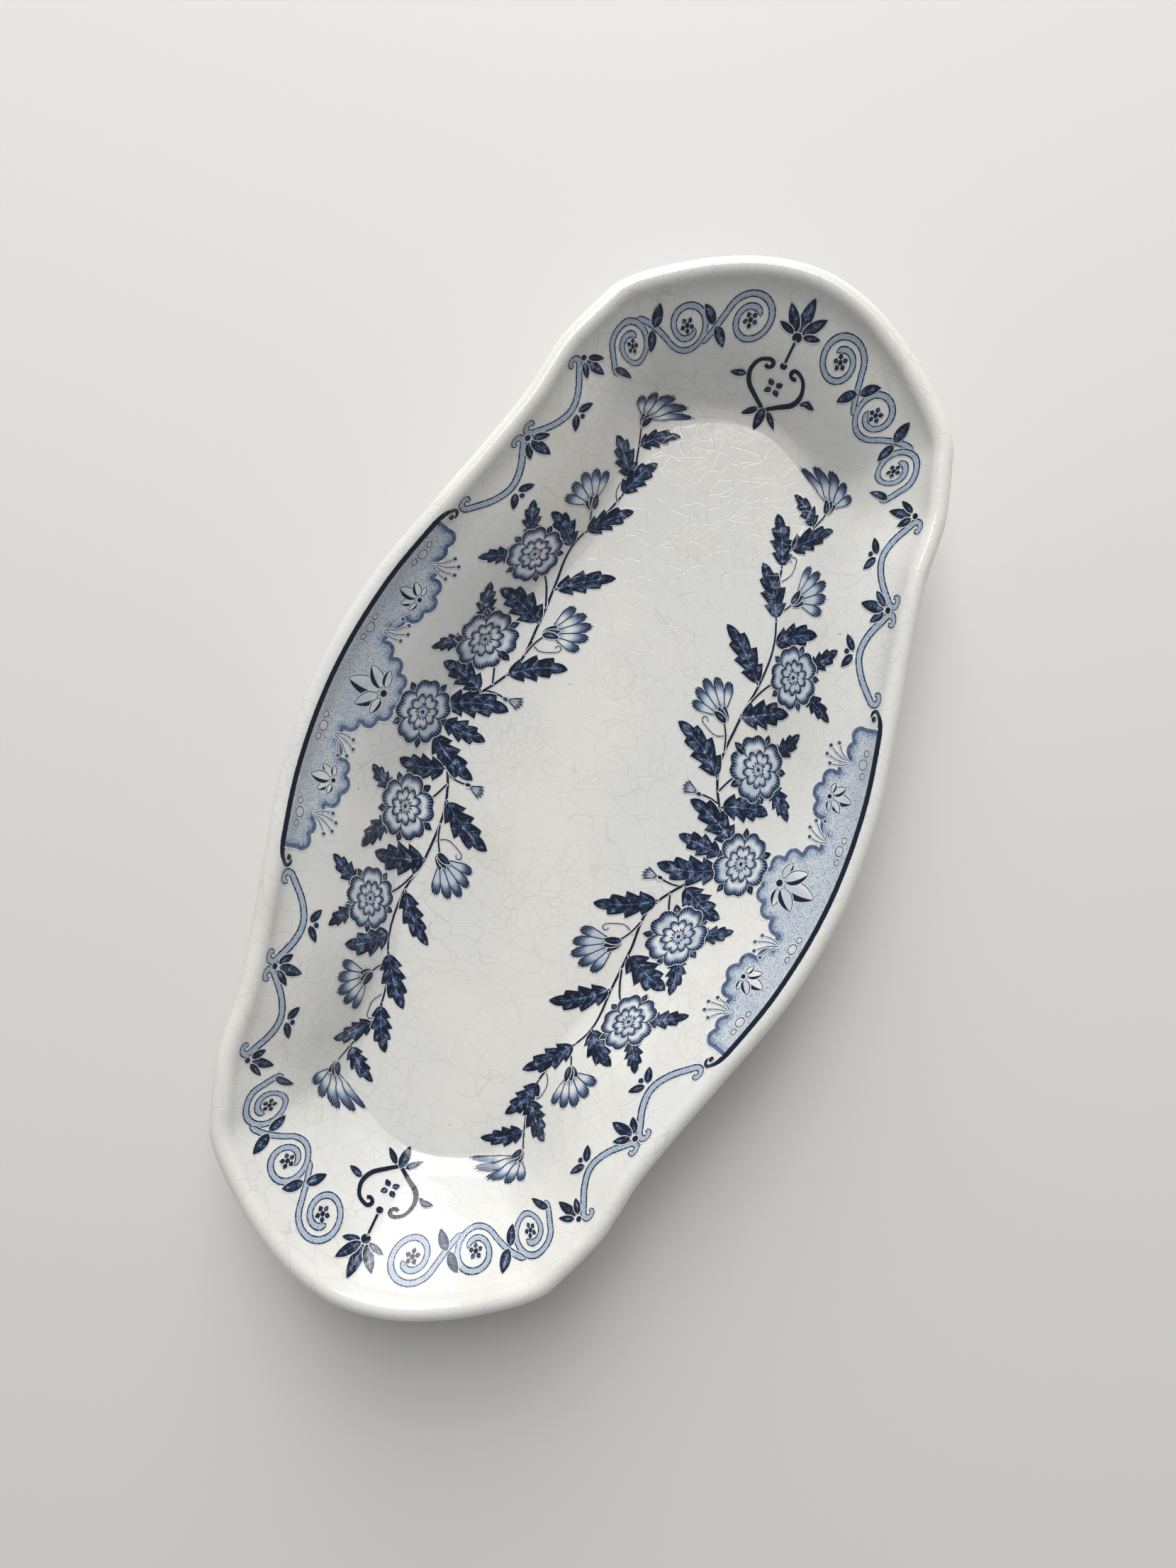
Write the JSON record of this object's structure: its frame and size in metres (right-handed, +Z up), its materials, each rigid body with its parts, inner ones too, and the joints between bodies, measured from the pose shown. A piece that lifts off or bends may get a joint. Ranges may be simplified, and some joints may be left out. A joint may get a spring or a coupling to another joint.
{
  "type": "appetizer dish",
  "caption": "Long lobed appetizer dish with a flat well, S-curved walls creased at the corners, a rounded lip and a low foot ring.",
  "frame": {"origin": "on the ground under the centre of the dish, in the plane of the foot ring's flat bottom", "axes": "+X along the length, +Y across the width, +Z up out of the well"},
  "size_m": [0.245, 0.1244, 0.033],
  "materials": {
    "glazed_earthenware": "clear glossy crazed glaze over ivory earthenware with underglaze blue print"
  },
  "bodies": {
    "root": {"dish_body": "glazed_earthenware"}
  },
  "joints": []
}
